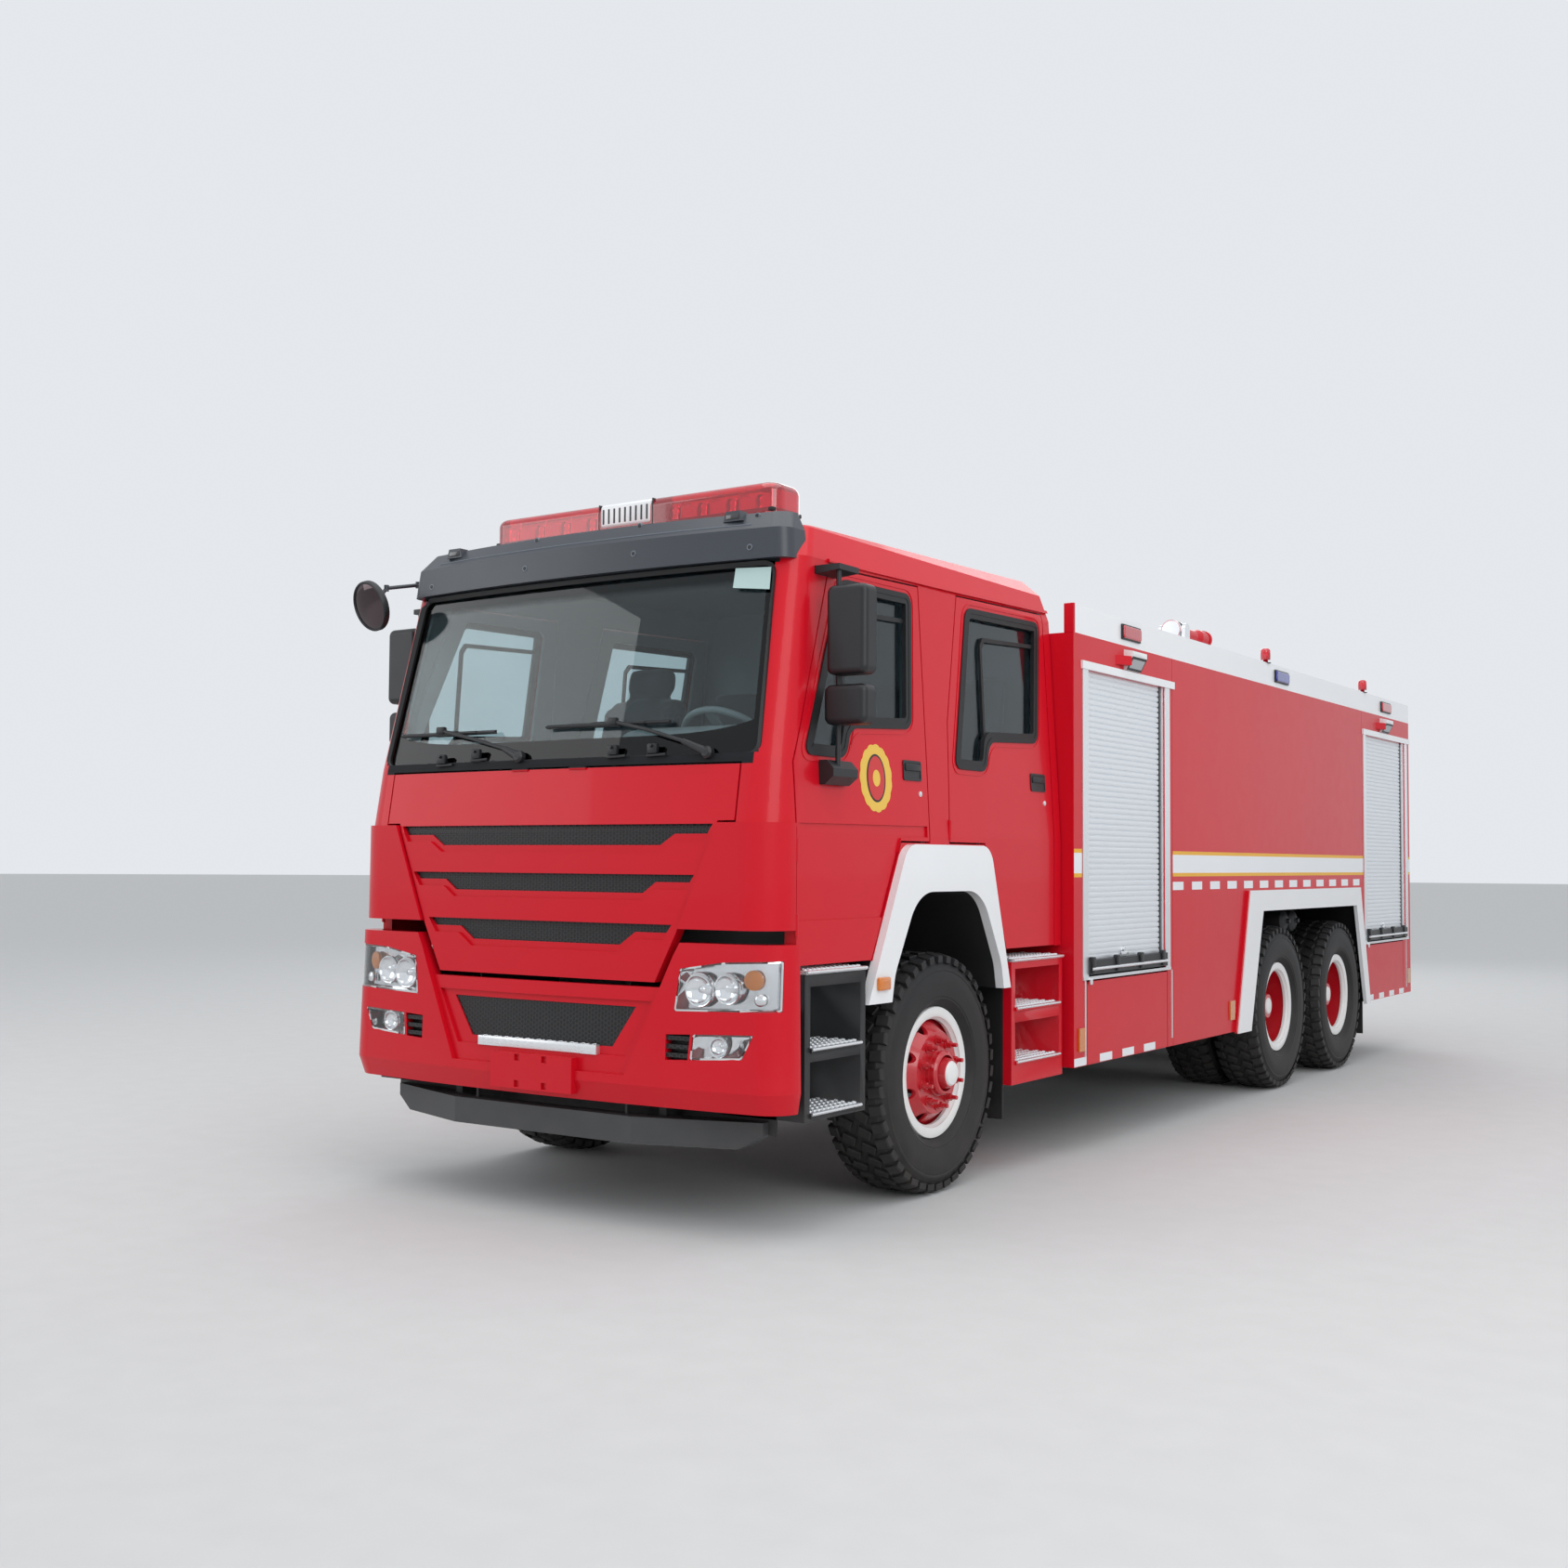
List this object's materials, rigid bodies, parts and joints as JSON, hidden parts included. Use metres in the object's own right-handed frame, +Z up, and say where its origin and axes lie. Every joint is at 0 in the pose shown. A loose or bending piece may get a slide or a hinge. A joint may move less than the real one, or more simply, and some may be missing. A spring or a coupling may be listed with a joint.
{
  "type": "three-axle industrial fire truck",
  "caption": "Crew-cab fire truck with steering front wheels, twin rear wheels, opening doors, lockers with roller shutters and a roof water monitor.",
  "frame": {"origin": "on the ground under the middle of the truck's overall box", "axes": "-Y is forwards, +X is the truck's left side, +Z is up"},
  "size_m": [2.77, 9.476, 3.4078],
  "materials": {
    "red_paint": "gloss",
    "white_paint": "gloss",
    "chassis_black": "satin",
    "dark_grey": "satin",
    "cast_grey": "rough",
    "black_plastic": "matte",
    "visor_plastic": "semi gloss",
    "dash_plastic": "matte",
    "seat_cloth": "woven",
    "clear_glass": "clear",
    "lamp_glass": "clear",
    "red_lens": "gloss",
    "wheel_red": "gloss",
    "tyre_rubber": "matte",
    "black_rubber": "matte",
    "shutter_alloy": "satin",
    "bright_alloy": "satin"
  },
  "bodies": {
    "chassis": {"frame_rails": "chassis_black", "engine_block": "cast_grey", "front_axle": "chassis_black", "rear_axles": "chassis_black", "side_tanks": "chassis_black", "front_bumper": "red_paint", "underrun_bar": "dark_grey", "headlamps": "lamp_glass", "bumper_trim": "black_plastic", "cab_shell": "red_paint", "windscreen": "clear_glass", "sun_visor": "visor_plastic", "light_bar": "red_lens", "front_arches": "white_paint", "mudflaps": "black_rubber", "cab_steps": "red_paint", "dashboard": "dash_plastic", "cab_seats": "seat_cloth", "equipment_body": "red_paint", "roof_coaming": "white_paint", "roller_shutters": "shutter_alloy", "shutter_rails": "bright_alloy", "rear_arches": "white_paint", "body_lamps": "red_lens", "rear_bumper": "dark_grey", "rear_ladder": "bright_alloy", "hose_couplings": "bright_alloy", "monitor_base": "red_paint"},
    "monitor_turret": {"monitor_turret": "red_paint"},
    "monitor_barrel": {"monitor_barrel": "red_paint"},
    "front_panel": {"front_panel": "red_paint", "grille_mesh": "black_plastic"},
    "knuckle_left": {"knuckle_left": "cast_grey"},
    "wheel_front_left": {"tyre_front_left": "tyre_rubber", "rim_front_left": "wheel_red"},
    "wheel_middle_left": {"tyres_middle_left": "tyre_rubber", "rims_middle_left": "wheel_red"},
    "wheel_rear_left": {"tyres_rear_left": "tyre_rubber", "rims_rear_left": "wheel_red"},
    "door_front_left": {"door_front_left": "red_paint", "door_front_glass_left": "clear_glass", "mirror_left": "black_plastic"},
    "door_rear_left": {"door_rear_left": "red_paint", "door_rear_glass_left": "clear_glass"},
    "flap_front_left": {"flap_front_left": "red_paint"},
    "flap_rear_left": {"flap_rear_left": "red_paint"},
    "knuckle_right": {"knuckle_right": "cast_grey"},
    "wheel_front_right": {"tyre_front_right": "tyre_rubber", "rim_front_right": "wheel_red"},
    "wheel_middle_right": {"tyres_middle_right": "tyre_rubber", "rims_middle_right": "wheel_red"},
    "wheel_rear_right": {"tyres_rear_right": "tyre_rubber", "rims_rear_right": "wheel_red"},
    "door_front_right": {"door_front_right": "red_paint", "door_front_glass_right": "clear_glass", "mirror_right": "black_plastic"},
    "door_rear_right": {"door_rear_right": "red_paint", "door_rear_glass_right": "clear_glass"},
    "flap_front_right": {"flap_front_right": "red_paint"},
    "flap_rear_right": {"flap_rear_right": "red_paint"}
  },
  "joints": [
    {"name": "monitor_turn", "type": "hinge", "parent": "chassis", "child": "monitor_turret", "pos_m": [0, 2.582, 3.1], "axis": [0, 0, 1], "range_deg": [-170, 170]},
    {"name": "monitor_tilt", "type": "hinge", "parent": "monitor_turret", "child": "monitor_barrel", "pos_m": [0, 2.582, 3.33], "axis": [1, 0, 0], "range_deg": [-15, 75]},
    {"name": "front_panel_lift", "type": "hinge", "parent": "chassis", "child": "front_panel", "pos_m": [0, -4.643, 1.89], "axis": [-1, 0, 0], "range_deg": [0, 75]},
    {"name": "steer_left", "type": "hinge", "parent": "chassis", "child": "knuckle_left", "pos_m": [0.88, -3.268, 0.545], "axis": [0, 0, 1], "range_deg": [-35, 35]},
    {"name": "spin_front_left", "type": "hinge", "parent": "knuckle_left", "child": "wheel_front_left", "pos_m": [1.011, -3.268, 0.545], "axis": [1, 0, 0], "continuous": true},
    {"name": "spin_middle_left", "type": "hinge", "parent": "chassis", "child": "wheel_middle_left", "pos_m": [0.915, 1.332, 0.545], "axis": [1, 0, 0], "continuous": true},
    {"name": "spin_rear_left", "type": "hinge", "parent": "chassis", "child": "wheel_rear_left", "pos_m": [0.915, 2.682, 0.545], "axis": [1, 0, 0], "continuous": true},
    {"name": "door_front_left_hinge", "type": "hinge", "parent": "chassis", "child": "door_front_left", "pos_m": [1.18, -4.484, 1.6], "axis": [0, 0, -1], "range_deg": [0, 70]},
    {"name": "door_rear_left_hinge", "type": "hinge", "parent": "chassis", "child": "door_rear_left", "pos_m": [1.18, -3.22, 1.6], "axis": [0, 0, -1], "range_deg": [0, 70]},
    {"name": "flap_front_left_hinge", "type": "hinge", "parent": "chassis", "child": "flap_front_left", "pos_m": [1.238, -1.3065, 0.465], "axis": [0, 1, 0], "range_deg": [0, 90]},
    {"name": "flap_rear_left_hinge", "type": "hinge", "parent": "chassis", "child": "flap_rear_left", "pos_m": [1.238, 3.9, 0.465], "axis": [0, 1, 0], "range_deg": [0, 90]},
    {"name": "steer_right", "type": "hinge", "parent": "chassis", "child": "knuckle_right", "pos_m": [-0.88, -3.268, 0.545], "axis": [0, 0, 1], "range_deg": [-35, 35]},
    {"name": "spin_front_right", "type": "hinge", "parent": "knuckle_right", "child": "wheel_front_right", "pos_m": [-1.011, -3.268, 0.545], "axis": [1, 0, 0], "continuous": true},
    {"name": "spin_middle_right", "type": "hinge", "parent": "chassis", "child": "wheel_middle_right", "pos_m": [-0.915, 1.332, 0.545], "axis": [1, 0, 0], "continuous": true},
    {"name": "spin_rear_right", "type": "hinge", "parent": "chassis", "child": "wheel_rear_right", "pos_m": [-0.915, 2.682, 0.545], "axis": [1, 0, 0], "continuous": true},
    {"name": "door_front_right_hinge", "type": "hinge", "parent": "chassis", "child": "door_front_right", "pos_m": [-1.18, -4.484, 1.6], "axis": [0, 0, 1], "range_deg": [0, 70]},
    {"name": "door_rear_right_hinge", "type": "hinge", "parent": "chassis", "child": "door_rear_right", "pos_m": [-1.18, -3.22, 1.6], "axis": [0, 0, 1], "range_deg": [0, 70]},
    {"name": "flap_front_right_hinge", "type": "hinge", "parent": "chassis", "child": "flap_front_right", "pos_m": [-1.238, -1.3065, 0.465], "axis": [0, -1, 0], "range_deg": [0, 90]},
    {"name": "flap_rear_right_hinge", "type": "hinge", "parent": "chassis", "child": "flap_rear_right", "pos_m": [-1.238, 3.9, 0.465], "axis": [0, -1, 0], "range_deg": [0, 90]}
  ],
  "couplings": [
    {"joint": "steer_right", "follows": "steer_left", "ratio": 1}
  ]
}
